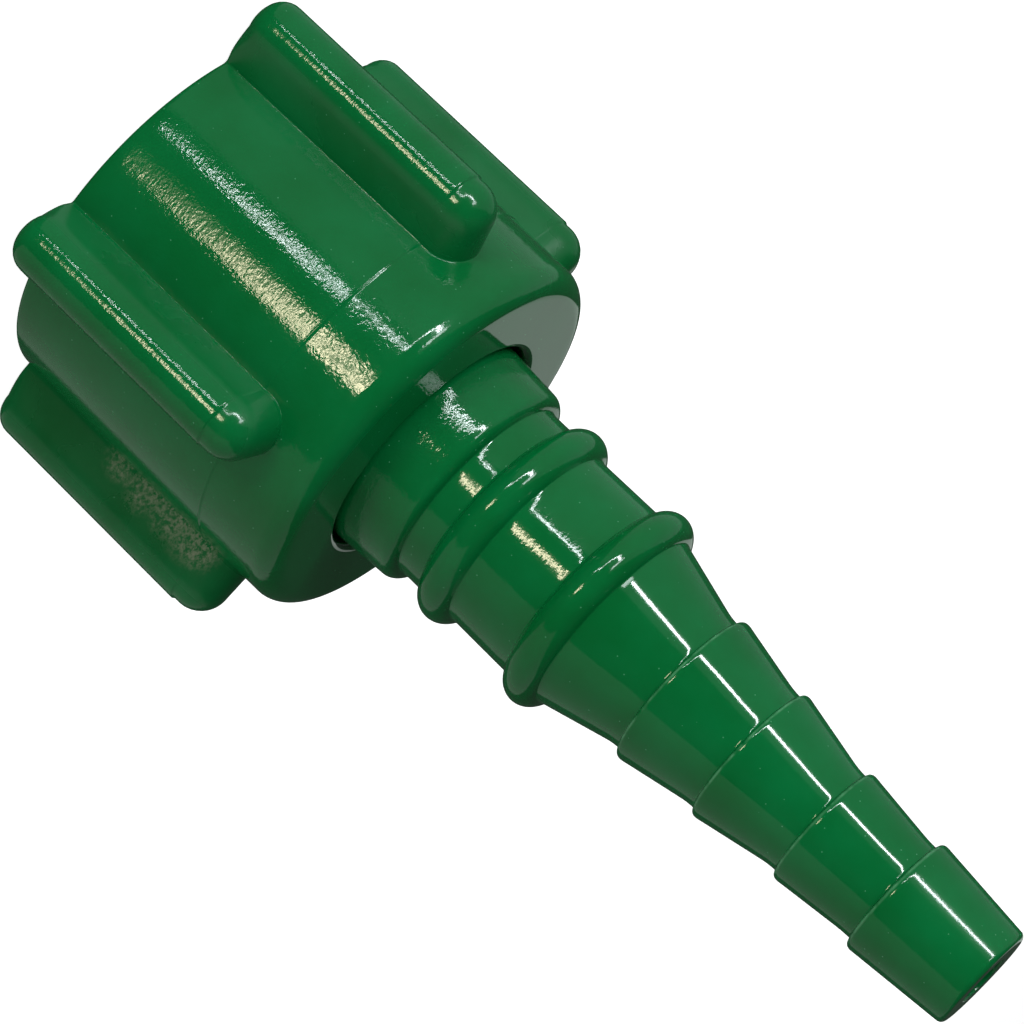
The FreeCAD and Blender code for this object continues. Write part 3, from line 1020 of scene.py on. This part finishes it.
        draft = (self.root_half_width - self.crest_round) / (self.crest_centre - self.root_radius)
        stretch = math.hypot(1.0, draft)
        low, high = self.crest_round, self.root_half_width + self.search_reach * round_off
        for _ in range(self.search_steps):
            middle = 0.5 * (low + high)
            across, up = centre(middle)
            if (across - self._flank(up)) / stretch < round_off:
                low = middle
            else:
                high = middle
        across, up = centre(high)
        tilt = math.atan(draft)
        arc = np.linspace(0.0, math.pi / 2 - tilt, self.crest_steps + 1)
        out, over = self.crest_round * np.cos(arc), self.crest_round * np.sin(arc)
        crest = np.column_stack([over, self.crest_centre + out])
        end = math.atan2(surface(high) - up, high - across) % math.tau
        bend = np.linspace(math.pi - tilt, end, self.fillet_steps + 1)
        fillet = np.column_stack(
            [across + round_off * np.cos(bend), up + round_off * np.sin(bend)]
        )
        steps = np.linspace(0.0, 1.0, self.flank_steps + 1)[1:-1, None]
        flank = crest[-1] + (fillet[0] - crest[-1]) * steps
        return np.concatenate([crest, flank, fillet])

    def _heights(self) -> Points:
        """Place the rows on a wing's straight part, finer at the parting line.

        Returns:
            The height of each row.
        """
        low = np.linspace(self.rim_round, self.line_height - self.line_margin, self.low_rows)
        line = self.line_height + np.array(self.line_rows)
        return np.concatenate([low, line[line < self.cap_height]])

    def _half_sector(self, round_off: float) -> Points:
        """Lay out half a sector of the outside, from a wing's crest to the next sector.

        Args:
            round_off: Radius of the fillet at the wing's root.

        Returns:
            Rows of points from the rim's edge to the top of the sector.
        """
        half = math.pi / self.wings
        top = self.height - self.shoulder_round
        power = 2.0 / self.cap_squareness
        spread = np.linspace(0.0, 1.0, self.body_steps + 1)[1:] ** self.body_spread
        plan = [(math.pi / 2, height, half, height) for height in self._heights()]
        bends = np.linspace(math.pi / 2, 0.0, self.side_steps + self.top_steps + 1)[1:]
        for number, turn in enumerate(bends, start=1):
            if number <= self.side_steps:
                rise = (top - self.cap_height) * number / self.side_steps
                plan.append((turn, self.cap_height, half, self.cap_height + rise))
            else:
                share = (number - self.side_steps) / self.top_steps
                plan.append((turn, self.cap_height, half * (1.0 - share), top))
        rows = []
        for turn, base, far_angle, far_height in plan:
            sideways, upward = abs(math.sin(turn)) ** power, abs(math.cos(turn)) ** power
            section = self._section(sideways, base, round_off)
            across, reach = section[:, 0], section[:, 1]
            beside, above = across * sideways, base + across * upward
            angle = math.atan2(beside[-1], reach[-1])
            heights = above[-1] + (far_height - above[-1]) * spread
            angles = angle + (far_angle - angle) * spread
            body = polar(self.side_radius(heights), angles, heights)
            rows.append(np.concatenate([np.column_stack([reach, beside, above]), body]))
        return np.array(rows)

    def _rim_rounds(self, width: int, round_off: float) -> Points:
        """Find the rim edge's round for each point of a row: large at a wing's crest.

        Args:
            width: Points in the row.
            round_off: Radius of the fillet at the wing's root.

        Returns:
            The radius of the round at each point.
        """
        section = self._section(1.0, 0.0, round_off)
        start, power = self.rim_blend
        rise = (section[:, 1] - self.rim_radius - start) / (self.crest_centre - self.rim_radius - start)
        share = np.clip(rise, 0.0, 1.0) ** power
        rounds = np.full(width, self.rim_round)
        rounds[: len(section)] += (self.wing_rim_round - self.rim_round) * share
        return rounds

    def _rim_rows(self, first: Points, rounds: Points) -> Points:
        """Roll the lowest row inwards over the rim's edge.

        Args:
            first: The row at the top of the edge's round, from crest to the next sector.
            rounds: The round's radius at each of its points.

        Returns:
            Rows from the rim plane up to just below that row.
        """
        flat = first[:, :2]
        ahead = np.gradient(flat, axis=0)
        ahead[0] = (0.0, 1.0)
        side = flat[-1] / np.linalg.norm(flat[-1])
        ahead[-1] = (-side[1], side[0])
        inward = np.column_stack([-ahead[:, 1], ahead[:, 0]])
        inward /= np.linalg.norm(inward, axis=1)[:, None]
        rows = []
        for angle in np.linspace(0.0, math.pi / 2, self.rim_steps + 1)[:-1]:
            moved = flat + inward * (rounds * (1.0 - math.sin(angle)))[:, None]
            rows.append(np.column_stack([moved, rounds * (1.0 - math.cos(angle))]))
        return np.array(rows)

    def _outside(self, round_off: float) -> Points:
        """Add the rim's rounded edge and the parting line to half a sector.

        Args:
            round_off: Radius of the fillet at the wing's root.

        Returns:
            Rows of points from the rim plane to the top of the sector.
        """
        rows = self._half_sector(round_off)
        rounds = self._rim_rounds(rows.shape[1], round_off)
        low = self.line_height - self.line_margin
        squeeze = np.clip((low - rows[:, :, 2]) / (low - self.rim_round), 0.0, 1.0)
        rows[:, :, 2] += squeeze * (rounds - self.rim_round)
        rows = np.concatenate([self._rim_rows(rows[0], rounds), rows])
        reach = np.hypot(rows[:, :, 0], rows[:, :, 1])
        relief = self.line_relief(rows[:, :, 2], reach)
        rows[:, :, :2] *= (1.0 + relief / reach)[:, :, None]
        return rows

    def _inside(self) -> Points:
        """Walk the inside from the front face to the rim.

        Returns:
            Radius and height of each ring of points.
        """
        front = self.height
        top = front - self.shoulder_round
        edge = float(self.side_radius(np.array(top))) - self.line_step
        tilt = math.atan2(self.line_radius - self.front_radius, front - self.line_height)
        bend = self.shoulder_round / (1.0 - math.sin(tilt))
        centre = (edge - bend * math.cos(tilt), front - bend)
        hole = self.hole_radius + self.hole_round
        path = Outline().arc(centre, bend, math.degrees(tilt), 90.0)
        flat = np.linspace(centre[0], hole, self.front_steps + 1)[1:-1]
        path.to(*((float(radius), front) for radius in flat))
        under = front - self.web
        path.arc((hole, front - self.hole_round), self.hole_round, 90.0, 180.0).to(
            (self.hole_radius, under + self.web_edge),
            (self.hole_radius + self.web_edge, under),
            (self.recess_radius - self.recess_round, under),
            (self.recess_radius, under - self.recess_round),
            (self.recess_radius, self.recess_low + self.recess_slope),
            (self.thread_root, self.recess_low),
            (self.thread_root, self.mouth_lead),
            (self.thread_root + self.mouth_lead, 0.0),
        )
        return np.array(path.points)

    def _top_loop(self, count: int, columns: int) -> list[int]:
        """List the points of the sector's upper edge from one side to the other.

        Args:
            count: Rows of the sector's outside.
            columns: Points in a row.

        Returns:
            The points' numbers.
        """
        first = count - self.top_steps - 1
        left = [row * columns for row in range(first, count)]
        right = [row * columns + columns - 1 for row in range(count - 1, first - 1, -1)]
        return left + right[1:]

    def sector(self) -> bpy.types.Object:
        """Build one sector of the whole nut, a wing in its middle.

        Returns:
            A mesh object, open where the neighbouring sectors join it.
        """
        low_side, high_side = (self._outside(round_off) for round_off in self.wing_fillets)
        mirrored = low_side[:, ::-1] * (1.0, -1.0, 1.0)
        whole = np.concatenate([mirrored[:, :-1], high_side], axis=1)
        count, columns = whole.shape[:2]
        verts = [whole.reshape(-1, 3)]
        faces = grid_faces(count, columns, closed=False)
        previous = self._top_loop(count, columns)
        size, start = len(previous), count * columns
        edge = verts[0][previous]
        angles = np.arctan2(edge[:, 1], edge[:, 0])
        inside = self._inside()
        for radius, height in inside[1:]:
            verts.append(polar(radius, angles, height))
            ring = list(range(start, start + size))
            for place in range(size - 1):
                faces.append([previous[place], previous[place + 1], ring[place + 1], ring[place]])
            previous, start = ring, start + size
        faces.append(list(range(columns)) + previous[::-1])
        log.info("nut sector: %d rows outside, %d rings inside", count, len(inside))
        return mesh_object("winged_nut", np.concatenate(verts), faces)

    def build(self, finish: bpy.types.Material) -> bpy.types.Object:
        """Repeat the sector round the axis and close the nut.

        Args:
            finish: The nut's material.

        Returns:
            The finished piece.
        """
        piece = self.sector()
        values = {"Count": self.wings, "Weld": self.sector_weld * MM, "Finish": finish}
        apply_tree(piece, ring_copies_tree(), values)
        clean(piece, self.weld)
        return piece


@dataclass
class OutletThread:
    """The inside thread of the nut: a ridge on a right-hand helix.

    Attributes:
        crest_break: Depth and half width of the broken edges of the ridge's crest.
        sink: How far the ridge's root reaches into the wall.
        start: Height at which the ridge starts.
    """

    root_radius: float = 7.144
    crest_radius: float = 6.45
    pitch: float = 1.411
    crest_width: float = 0.36
    crest_break: Pair = (0.06, 0.03)
    root_width: float = 1.2
    sink: float = 0.08
    start: float = 0.75
    turns: float = 6.0

    def build(self, finish: bpy.types.Material) -> bpy.types.Object:
        """Sweep the ridge.

        Args:
            finish: The nut's material.

        Returns:
            The finished piece.
        """
        depth = self.root_radius - self.crest_radius
        down, side = self.crest_break
        root, crest = self.root_width / 2, self.crest_width / 2
        flank = [(-self.sink, root), (0.0, root), (depth - down, crest + side), (depth, crest - side)]
        section = [(up, -off, 0.0) for up, off in flank]
        section += [(up, off, 0.0) for up, off in flank[::-1]]
        edges = [(place, (place + 1) % len(section)) for place in range(len(section))]
        piece = mesh_object("outlet_thread", section, [], edges)
        piece.data.name = "thread_section"
        values = {
            "Radius": self.root_radius * MM,
            "Pitch": self.pitch * MM,
            "Turns": self.turns,
            "Start": self.start * MM,
            "Finish": finish,
        }
        apply_tree(piece, thread_tree(), values)
        clean(piece)
        return piece


# The studio


@dataclass(frozen=True)
class Strip:
    """A long soft lamp, placed by the direction in which the part sees it.

    Attributes:
        name: Name of the lamp.
        ends: Azimuth and elevation of its two ends in degrees.
        width: Width in degrees.
        radiance: Brightness of its face.
        colour: Colour of its light.
        distance: Distance from the part in metres.
    """

    name: str
    ends: tuple[Pair, Pair]
    width: float
    radiance: float
    colour: Colour
    distance: float = 0.8

    def build(self, aim: Vector) -> bpy.types.Object:
        """Hang the lamp so that it faces the point it is aimed at.

        Args:
            aim: The point in metres.

        Returns:
            The lamp's object.
        """
        spots = []
        for azimuth, elevation in self.ends:
            turn, rise = math.radians(azimuth), math.radians(elevation)
            way = Vector(
                (math.cos(turn) * math.cos(rise), math.sin(turn) * math.cos(rise), math.sin(rise))
            )
            spots.append(aim + way * self.distance)
        middle = (spots[0] + spots[1]) / 2
        along = spots[1] - spots[0]
        back = (middle - aim).normalized()
        long_way = (along - back * along.dot(back)).normalized()
        lamp = bpy.data.lights.new(self.name, "AREA")
        lamp.shape = "RECTANGLE"
        lamp.size = self.distance * math.radians(self.width)
        lamp.size_y = along.length
        lamp.color = self.colour
        lamp.energy = self.radiance * math.pi * lamp.size * lamp.size_y
        piece = bpy.data.objects.new(self.name, lamp)
        across = long_way.cross(back)
        turn = Matrix((across, long_way, back)).transposed().to_4x4()
        piece.matrix_world = Matrix.Translation(middle) @ turn
        piece.visible_camera = False
        bpy.context.scene.collection.objects.link(piece)
        return piece


@dataclass
class Studio:
    """Floor, lamps and surroundings.

    Attributes:
        lamps: Lamps that light the part and show in its gloss.
        fills: Lamps that light it and don't show in its gloss.
        aim: The point that the lamps face, in metres.
        surroundings: Brightness of the surroundings.
        floor_half: Half the side of the floor.
        floor_drop: How far the floor lies below the rim plane.
        floor_glow: Light that the floor gives off where the camera sees it.
    """

    lamps: tuple[Strip, ...] = (
        Strip("window_foot", ((23.0, -23.0), (21.5, -20.4)), 1.5, 40.0, WINDOW),
        Strip("window_low", ((18.4, -20.4), (18.4, -18.8)), 1.7, 50.0, WINDOW),
        Strip("window_gap", ((18.4, -18.8), (18.4, -16.0)), 2.0, 6.0, WINDOW),
        Strip("window_stem", ((18.4, -16.0), (18.4, -13.0)), 1.8, 34.0, WINDOW),
        Strip("window_bend", ((18.4, -13.0), (6.5, -8.8)), 1.8, 25.0, WINDOW),
        Strip("window_curve", ((6.5, -8.8), (-1.0, -0.8)), 2.6, 40.0, WINDOW),
        Strip("window_strip", ((-1.0, -0.8), (-2.0, 19.0)), 3.4, 45.0, WINDOW),
        Strip("window_head", ((-7.0, 25.0), (9.0, 25.0)), 8.0, 11.0, WINDOW),
        Strip("warm_foot", ((43.5, -23.0), (43.8, -20.8)), 9.0, 2.6, WARM),
        Strip("warm_ankle", ((43.8, -20.8), (44.2, -20.0)), 10.5, 9.0, WARM),
        Strip("warm_low", ((44.2, -20.0), (44.6, -18.6)), 11.5, 30.0, WARM),
        Strip("warm_gap", ((44.6, -18.6), (45.0, -15.8)), 9.0, 2.0, WARM),
        Strip("warm_stem", ((45.0, -15.8), (46.2, -13.9)), 11.5, 28.0, WARM),
        Strip("backdrop", ((232.0, 2.0), (232.0, 24.0)), 10.0, 0.55, (0.9, 1.0, 0.94)),
        Strip("left_panel", ((139.0, -50.0), (139.0, 50.0)), 76.0, 0.25, (1.0, 1.0, 0.96)),
        Strip("right_panel", ((-42.0, -50.0), (-42.0, 50.0)), 101.0, 0.3, (0.8, 1.0, 0.96)),
    )
    fills: tuple[Strip, ...] = (
        Strip("front_fill", ((0.0, -20.0), (0.0, 40.0)), 60.0, 0.9, WHITE),
        Strip("left_fill", ((90.0, -30.0), (90.0, 30.0)), 50.0, 1.25, WHITE),
        Strip("top_fill", ((30.0, 50.0), (30.0, 85.0)), 60.0, 0.55, WHITE),
        Strip("back_fill", ((240.0, -30.0), (240.0, 30.0)), 60.0, 1.0, WHITE),
    )
    aim: tuple[float, float, float] = (0.0, 0.0, 0.022)
    sky: Colour = (0.96, 1.0, 0.98)
    surroundings: float = 0.04
    floor_half: float = 3000.0
    floor_drop: float = 0.02
    floor_colour: float = 0.8
    floor_glow: float = 0.92

    def build(self) -> None:
        """Set up the whole studio."""
        aim = Vector(self.aim)
        for lamp in self.lamps:
            lamp.build(aim)
        for fill in self.fills:
            fill.build(aim).visible_glossy = False
        self._world()
        self._floor()

    def _world(self) -> None:
        """Give the surroundings an even pale light, and white where the camera looks at them."""
        world = bpy.data.worlds.new("surroundings")
        world.use_nodes = True
        bpy.context.scene.world = world
        graph = Graph(world.node_tree)
        soft, white = (
            graph.add("ShaderNodeBackground", {"Color": (*colour, 1.0), "Strength": strength})
            for colour, strength in ((self.sky, self.surroundings), (WHITE, 1.0))
        )
        seen = graph.add("ShaderNodeLightPath").outputs["Is Camera Ray"]
        inputs = {0: seen, 1: soft.outputs[0], 2: white.outputs[0]}
        mixed = graph.add("ShaderNodeMixShader", inputs)
        graph.add("ShaderNodeOutputWorld", {"Surface": mixed.outputs[0]})

    def _floor(self) -> None:
        """Lay a pale floor under the rim, white to the camera apart from the part's shadow."""
        corners = np.array([(-1, -1, 0), (1, -1, 0), (1, 1, 0), (-1, 1, 0)]) * self.floor_half
        floor = mesh_object("floor", corners - (0.0, 0.0, self.floor_drop), [(0, 1, 2, 3)])
        material = bpy.data.materials.new("pale floor")
        material.use_nodes = True
        graph = Graph(material.node_tree)
        colour = {"Color": (self.floor_colour,) * 3 + (1.0,)}
        paint = graph.add("ShaderNodeBsdfDiffuse", colour).outputs[0]
        glow = graph.add("ShaderNodeEmission", {"Strength": self.floor_glow}).outputs[0]
        both = graph.add("ShaderNodeAddShader", {0: paint, 1: glow}).outputs[0]
        seen = graph.add("ShaderNodeLightPath").outputs["Is Camera Ray"]
        shown = graph.add("ShaderNodeMixShader", {0: seen, 1: paint, 2: both})
        graph.add("ShaderNodeOutputMaterial", {"Surface": shown.outputs[0]})
        floor.data.materials.append(material)
        floor.visible_glossy = False
        floor.visible_shadow = False


@dataclass
class Viewpoint:
    """The camera, where the picture was taken from.

    Attributes:
        place: Where it stands, in millimetres.
        right: The picture's right in the part's frame.
        up: The picture's top in the part's frame.
        angle: How much it sees across, in radians.
        clip: The nearest and the farthest that it sees, in metres.
    """

    place: tuple[float, float, float] = (106.9502, 108.1651, 59.9564)
    right: tuple[float, float, float] = (0.369463, -0.613426, 0.698002)
    up: tuple[float, float, float] = (0.634158, -0.382598, -0.671909)
    angle: float = 2.0 * math.atan(512.0 / 3600.0)
    clip: Pair = (0.005, 20.0)

    def build(self) -> None:
        """Place the camera and make it the scene's."""
        camera = bpy.data.cameras.new("camera")
        camera.sensor_fit = "HORIZONTAL"
        camera.angle = self.angle
        camera.clip_start, camera.clip_end = self.clip
        piece = bpy.data.objects.new("camera", camera)
        right, up = Vector(self.right).normalized(), Vector(self.up).normalized()
        back = right.cross(up).normalized()
        up = back.cross(right)
        turn = Matrix((right, up, back)).transposed().to_4x4()
        piece.matrix_world = Matrix.Translation(Vector(self.place) * MM) @ turn
        bpy.context.scene.collection.objects.link(piece)
        bpy.context.scene.camera = piece


# The whole


def settle(piece: bpy.types.Object, body: Body, nodes: Sequence[str] = ()) -> None:
    """Hand a finished piece to the frame.

    Args:
        piece: The finished piece.
        body: The body that it rides on.
        nodes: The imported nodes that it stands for.
    """
    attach(piece, body.value)
    if nodes:
        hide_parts(*nodes)
    log.info("%s: %d faces", piece.name, len(piece.data.polygons))


def main() -> None:
    """Load the frame, build every piece in order and light it."""
    logging.basicConfig(level=logging.INFO, format="%(name)s: %(message)s")
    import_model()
    Viewpoint().build()
    Studio().build()
    effects = Effects()
    nut_finish = NUT_FINISH.build(effects)
    nipple_finish = NIPPLE_FINISH.build(effects)
    settle(WingNut().build(nut_finish), Body.NUT, ["wing_nut"])
    settle(OutletThread().build(nut_finish), Body.NUT)
    nipple = BarbedNipple().build(nipple_finish)
    settle(nipple, Body.NIPPLE, ["barbed_nipple"])
    bpy.context.scene.view_settings.view_transform = "Standard"


if __name__ == "__main__":
    main()
